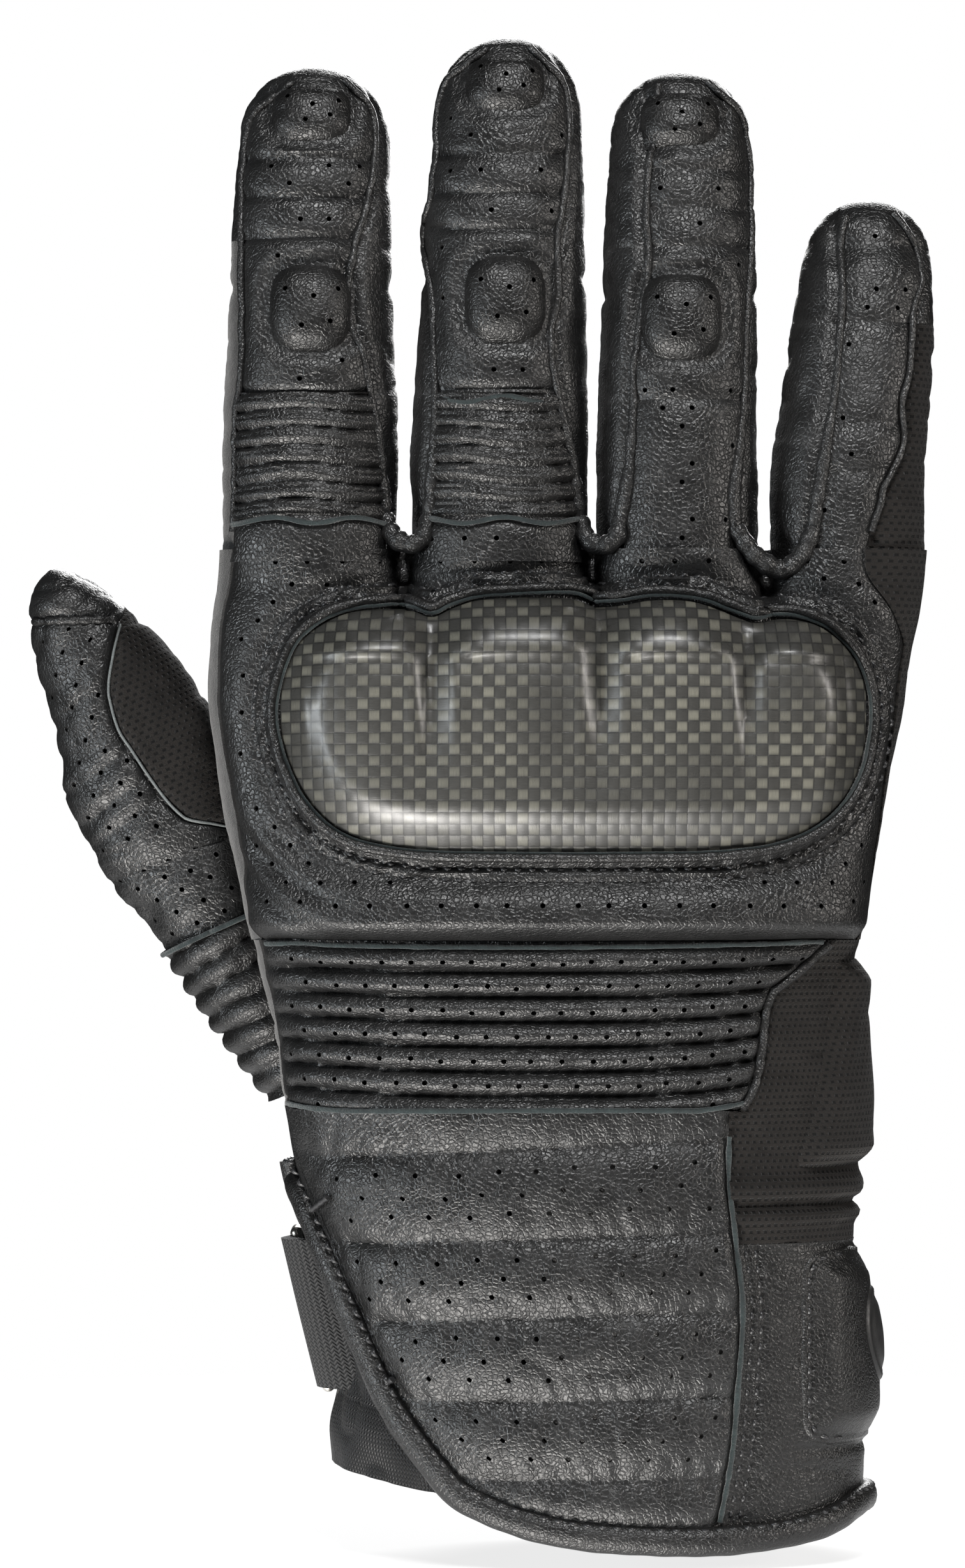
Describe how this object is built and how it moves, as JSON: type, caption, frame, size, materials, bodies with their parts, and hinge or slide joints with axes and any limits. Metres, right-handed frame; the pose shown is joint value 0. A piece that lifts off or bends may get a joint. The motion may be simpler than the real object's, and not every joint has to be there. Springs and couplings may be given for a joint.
{
  "type": "riding glove",
  "caption": "Right-hand short-cuff leather riding glove with a hard moulded knuckle guard, stretch ribs, padded fingers, a strapped cuff and bending fingers.",
  "frame": {"origin": "on the forearm's axis, in the plane of the cuff's mouth", "axes": "+Z from the cuff to the fingertips, -Y out of the back of the hand, +Y out of the palm, -X to the thumb side"},
  "size_m": [0.1531, 0.0569, 0.2516],
  "materials": {
    "back_leather": "satin perforated",
    "palm_leather": "matte grained",
    "suede": "matte napped",
    "carbon": "clear coated weave",
    "foam": "matte foam",
    "mesh": "stretch knit",
    "webbing": "woven",
    "jersey": "satin knit",
    "tape": "hook and loop",
    "steel": "polished"
  },
  "bodies": {
    "cuff": {"cuff_back_panel": "back_leather", "cuff_palm_panel": "palm_leather", "cuff_binding": "back_leather", "inner_cuff": "jersey", "ulnar_cuff_mesh": "mesh", "ulnar_wrist_pad": "mesh", "closure_panel": "back_leather", "closure_pad": "back_leather", "closure_badge": "back_leather", "ring_webbing": "webbing", "wrist_strap": "back_leather", "strap_loop_tape": "tape", "flap_loop_tape": "tape", "wrist_accordion": "back_leather", "wrist_edge_strip": "suede", "ulnar_wrist_mesh": "mesh", "wrist_palm_panel": "palm_leather", "thumb_stretch_ribs": "back_leather"},
    "ring_swivel": {"strap_ring": "steel"},
    "strap_end": {"strap_tail": "back_leather", "strap_hook_tape": "tape"},
    "flap": {"cuff_flap": "back_leather", "flap_hook_tape": "tape"},
    "hand": {"hand_back_panel": "back_leather", "hand_palm_panel": "palm_leather", "suede_edge_strip": "suede", "ulnar_mesh_panel": "mesh", "knuckle_shell": "carbon", "knuckle_foam": "foam", "knuckle_rim": "back_leather", "palm_heel_pad": "palm_leather", "finger_roots": "back_leather", "finger_web_welts": "back_leather", "thumb_root": "back_leather", "thumb_mesh_gusset": "mesh", "index_stretch_ribs": "back_leather", "middle_stretch_ribs": "back_leather"},
    "thumb_lower": {"thumb_base": "back_leather"},
    "thumb_upper": {"thumb_tip": "back_leather"},
    "index_proximal": {"index_base": "back_leather", "index_middle_pad": "back_leather"},
    "index_medial": {"index_mid": "back_leather"},
    "index_distal": {"index_tip": "back_leather", "index_tip_pad": "back_leather"},
    "middle_proximal": {"middle_base": "back_leather", "middle_middle_pad": "back_leather"},
    "middle_medial": {"middle_mid": "back_leather"},
    "middle_distal": {"middle_tip": "back_leather", "middle_tip_pad": "back_leather"},
    "ring_proximal": {"ring_base": "back_leather", "ring_middle_pad": "back_leather"},
    "ring_medial": {"ring_mid": "back_leather"},
    "ring_distal": {"ring_tip": "back_leather", "ring_tip_pad": "back_leather"},
    "little_proximal": {"little_base": "back_leather"},
    "little_medial": {"little_mid": "back_leather"},
    "little_distal": {"little_tip": "back_leather"}
  },
  "joints": [
    {"name": "wrist_flex", "type": "hinge", "parent": "cuff", "child": "hand", "pos_m": [0.0003, 0, 0.086], "axis": [-1, 0, 0], "range_deg": [-20, 30], "stiffness_Nm_per_rad": 0.6, "deforming": ["wrist_accordion", "wrist_edge_strip", "ulnar_wrist_mesh", "wrist_palm_panel", "thumb_stretch_ribs"]},
    {"name": "index_knuckle", "type": "hinge", "parent": "hand", "child": "index_proximal", "pos_m": [-0.0419, 0.001, 0.177], "axis": [-1, 0, 0], "range_deg": [0, 60], "stiffness_Nm_per_rad": 0.08, "deforming": ["index_stretch_ribs"]},
    {"name": "index_middle", "type": "hinge", "parent": "index_proximal", "child": "index_medial", "pos_m": [-0.04166, 0.003, 0.205], "axis": [-1, 0, 0], "range_deg": [0, 75], "stiffness_Nm_per_rad": 0.05},
    {"name": "index_tip", "type": "hinge", "parent": "index_medial", "child": "index_distal", "pos_m": [-0.04148, 0.006, 0.226], "axis": [-1, 0, 0], "range_deg": [0, 37.5], "stiffness_Nm_per_rad": 0.03},
    {"name": "middle_knuckle", "type": "hinge", "parent": "hand", "child": "middle_proximal", "pos_m": [-0.01029, 0.001, 0.177], "axis": [-1, 0, 0], "range_deg": [0, 60], "stiffness_Nm_per_rad": 0.08, "deforming": ["middle_stretch_ribs"]},
    {"name": "middle_middle", "type": "hinge", "parent": "middle_proximal", "child": "middle_medial", "pos_m": [-0.00955, 0.003, 0.2065], "axis": [-1, 0, 0], "range_deg": [0, 75], "stiffness_Nm_per_rad": 0.05},
    {"name": "middle_tip", "type": "hinge", "parent": "middle_medial", "child": "middle_distal", "pos_m": [-0.00898, 0.006, 0.229], "axis": [-1, 0, 0], "range_deg": [0, 37.5], "stiffness_Nm_per_rad": 0.03},
    {"name": "ring_knuckle", "type": "hinge", "parent": "hand", "child": "ring_proximal", "pos_m": [0.01946, 0.001, 0.1765], "axis": [-1, 0, 0], "range_deg": [0, 60], "stiffness_Nm_per_rad": 0.08},
    {"name": "ring_middle", "type": "hinge", "parent": "ring_proximal", "child": "ring_medial", "pos_m": [0.01982, 0.003, 0.2036], "axis": [-1, 0, 0], "range_deg": [0, 75], "stiffness_Nm_per_rad": 0.05},
    {"name": "ring_tip", "type": "hinge", "parent": "ring_medial", "child": "ring_distal", "pos_m": [0.02011, 0.006, 0.2245], "axis": [-1, 0, 0], "range_deg": [0, 37.5], "stiffness_Nm_per_rad": 0.03},
    {"name": "little_knuckle", "type": "hinge", "parent": "hand", "child": "little_proximal", "pos_m": [0.04781, 0.001, 0.1735], "axis": [-1, 0, 0], "range_deg": [0, 60], "stiffness_Nm_per_rad": 0.08},
    {"name": "little_middle", "type": "hinge", "parent": "little_proximal", "child": "little_medial", "pos_m": [0.04963, 0.003, 0.193], "axis": [-1, 0, 0], "range_deg": [0, 75], "stiffness_Nm_per_rad": 0.05},
    {"name": "little_tip", "type": "hinge", "parent": "little_medial", "child": "little_distal", "pos_m": [0.05118, 0.006, 0.2095], "axis": [-1, 0, 0], "range_deg": [0, 37.5], "stiffness_Nm_per_rad": 0.03},
    {"name": "thumb_base_flex", "type": "hinge", "parent": "hand", "child": "thumb_lower", "pos_m": [-0.05903, 0.012, 0.10457], "axis": [-0.9143, 0, -0.4051], "range_deg": [0, 30], "stiffness_Nm_per_rad": 0.08, "deforming": ["thumb_mesh_gusset"]},
    {"name": "thumb_tip_flex", "type": "hinge", "parent": "thumb_lower", "child": "thumb_upper", "pos_m": [-0.07158, 0.012, 0.13291], "axis": [-0.9143, 0, -0.4051], "range_deg": [0, 50], "stiffness_Nm_per_rad": 0.05},
    {"name": "ring_swing", "type": "hinge", "parent": "cuff", "child": "ring_swivel", "pos_m": [-0.0414, 0.0018, 0.0384], "axis": [-0.2028, 0, 0.9792], "range_deg": [-10, 35], "stiffness_Nm_per_rad": 0.002},
    {"name": "strap_tail_peel", "type": "hinge", "parent": "cuff", "child": "strap_end", "pos_m": [-0.035, 0.013, 0.0385], "axis": [-0.2028, 0, 0.9792], "range_deg": [0, 120], "stiffness_Nm_per_rad": 0.01},
    {"name": "cuff_flap_peel", "type": "hinge", "parent": "cuff", "child": "flap", "pos_m": [0.0425, 0.0165, 0.0265], "axis": [0, 0, -1], "range_deg": [0, 110], "stiffness_Nm_per_rad": 0.03}
  ],
  "couplings": [
    {"joint": "index_tip", "follows": "index_middle", "ratio": 0.5},
    {"joint": "middle_tip", "follows": "middle_middle", "ratio": 0.5},
    {"joint": "ring_tip", "follows": "ring_middle", "ratio": 0.5},
    {"joint": "little_tip", "follows": "little_middle", "ratio": 0.5}
  ]
}
